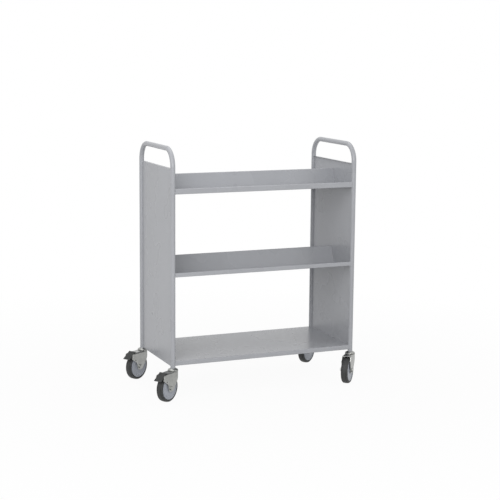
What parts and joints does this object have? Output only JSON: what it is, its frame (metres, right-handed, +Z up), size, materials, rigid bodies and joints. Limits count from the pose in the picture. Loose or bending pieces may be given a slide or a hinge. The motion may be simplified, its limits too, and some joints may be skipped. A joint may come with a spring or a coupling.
{
  "type": "book cart",
  "caption": "Double-sided steel book cart: sloping shelves over a flat one, looped tube handles at the ends, swivel casters, and foot brakes along one end.",
  "frame": {"origin": "centre of the footprint on the floor, measured over the casters as they trail at rest; the frame's own centre is 44 mm along +X and 33 mm along +Y from it", "axes": "+X along the cart's width, from the braked end to the unbraked end; -Y is the front; +Z up"},
  "size_m": [1.0266, 0.5372, 1.134],
  "materials": {
    "silver_powder_coat": "satin silver-grey powder coat",
    "zinc_plate": "bright zinc-plated pressed steel",
    "bearing_steel": "turned steel",
    "grey_tread": "dark grey non-marking rubber",
    "grey_hub": "moulded light grey plastic",
    "bush_nylon": "natural nylon",
    "pedal_black": "ribbed dark grey moulding",
    "shoe_rubber": "black rubber"
  },
  "bodies": {
    "cart_frame": {"left_end_tube": "silver_powder_coat", "left_end_panel": "silver_powder_coat", "right_end_tube": "silver_powder_coat", "right_end_panel": "silver_powder_coat", "top_shelf": "silver_powder_coat", "middle_shelf": "silver_powder_coat", "bottom_shelf": "silver_powder_coat", "stem_sockets": "bearing_steel", "front_left_stem": "zinc_plate", "front_left_race_cap": "zinc_plate", "rear_left_stem": "zinc_plate", "rear_left_race_cap": "zinc_plate", "front_right_stem": "zinc_plate", "front_right_race_cap": "zinc_plate", "rear_right_stem": "zinc_plate", "rear_right_race_cap": "zinc_plate"},
    "front_left_swivel": {"front_left_fork": "zinc_plate", "front_left_race_balls": "bearing_steel", "front_left_axle_bolt": "zinc_plate", "front_left_axle_nut": "zinc_plate", "front_left_axle_spacer": "bearing_steel", "front_left_pedal_pin": "zinc_plate", "front_left_brake_leaf": "bearing_steel"},
    "front_left_wheel": {"front_left_tyre": "grey_tread", "front_left_wheel_hub": "grey_hub", "front_left_wheel_covers": "grey_hub", "front_left_wheel_bush": "bush_nylon"},
    "front_left_pedal": {"front_left_brake_pedal": "pedal_black", "front_left_brake_shoe": "shoe_rubber"},
    "rear_left_swivel": {"rear_left_fork": "zinc_plate", "rear_left_race_balls": "bearing_steel", "rear_left_axle_bolt": "zinc_plate", "rear_left_axle_nut": "zinc_plate", "rear_left_axle_spacer": "bearing_steel", "rear_left_pedal_pin": "zinc_plate", "rear_left_brake_leaf": "bearing_steel"},
    "rear_left_wheel": {"rear_left_tyre": "grey_tread", "rear_left_wheel_hub": "grey_hub", "rear_left_wheel_covers": "grey_hub", "rear_left_wheel_bush": "bush_nylon"},
    "rear_left_pedal": {"rear_left_brake_pedal": "pedal_black", "rear_left_brake_shoe": "shoe_rubber"},
    "front_right_swivel": {"front_right_fork": "zinc_plate", "front_right_race_balls": "bearing_steel", "front_right_axle_bolt": "zinc_plate", "front_right_axle_nut": "zinc_plate", "front_right_axle_spacer": "bearing_steel"},
    "front_right_wheel": {"front_right_tyre": "grey_tread", "front_right_wheel_hub": "grey_hub", "front_right_wheel_covers": "grey_hub", "front_right_wheel_bush": "bush_nylon"},
    "rear_right_swivel": {"rear_right_fork": "zinc_plate", "rear_right_race_balls": "bearing_steel", "rear_right_axle_bolt": "zinc_plate", "rear_right_axle_nut": "zinc_plate", "rear_right_axle_spacer": "bearing_steel"},
    "rear_right_wheel": {"rear_right_tyre": "grey_tread", "rear_right_wheel_hub": "grey_hub", "rear_right_wheel_covers": "grey_hub", "rear_right_wheel_bush": "bush_nylon"}
  },
  "joints": [
    {"name": "front_left_swivel_turn", "type": "hinge", "parent": "cart_frame", "child": "front_left_swivel", "pos_m": [-0.4019, -0.1794, 0.1335], "axis": [0, 0, 1], "continuous": true},
    {"name": "front_left_wheel_spin", "type": "hinge", "parent": "front_left_swivel", "child": "front_left_wheel", "pos_m": [-0.43876, -0.20521, 0.0635], "axis": [0.5736, -0.8192, 0], "continuous": true},
    {"name": "front_left_pedal_press", "type": "hinge", "parent": "front_left_swivel", "child": "front_left_pedal", "pos_m": [-0.47562, -0.23102, 0.11699], "axis": [0.5736, -0.8192, 0], "range_deg": [0, 13]},
    {"name": "rear_left_swivel_turn", "type": "hinge", "parent": "cart_frame", "child": "rear_left_swivel", "pos_m": [-0.4019, 0.2454, 0.1335], "axis": [0, 0, 1], "continuous": true},
    {"name": "rear_left_wheel_spin", "type": "hinge", "parent": "rear_left_swivel", "child": "rear_left_wheel", "pos_m": [-0.44027, 0.22189, 0.0635], "axis": [0.5225, -0.8526, 0], "continuous": true},
    {"name": "rear_left_pedal_press", "type": "hinge", "parent": "rear_left_swivel", "child": "rear_left_pedal", "pos_m": [-0.47863, 0.19838, 0.11699], "axis": [0.5225, -0.8526, 0], "range_deg": [0, 13]},
    {"name": "front_right_swivel_turn", "type": "hinge", "parent": "cart_frame", "child": "front_right_swivel", "pos_m": [0.4899, -0.1794, 0.1335], "axis": [0, 0, 1], "continuous": true},
    {"name": "front_right_wheel_spin", "type": "hinge", "parent": "front_right_swivel", "child": "front_right_wheel", "pos_m": [0.45979, -0.21284, 0.0635], "axis": [0.7431, -0.6691, 0], "continuous": true},
    {"name": "rear_right_swivel_turn", "type": "hinge", "parent": "cart_frame", "child": "rear_right_swivel", "pos_m": [0.4899, 0.2454, 0.1335], "axis": [0, 0, 1], "continuous": true},
    {"name": "rear_right_wheel_spin", "type": "hinge", "parent": "rear_right_swivel", "child": "rear_right_wheel", "pos_m": [0.45349, 0.21895, 0.0635], "axis": [0.5878, -0.809, 0], "continuous": true}
  ]
}
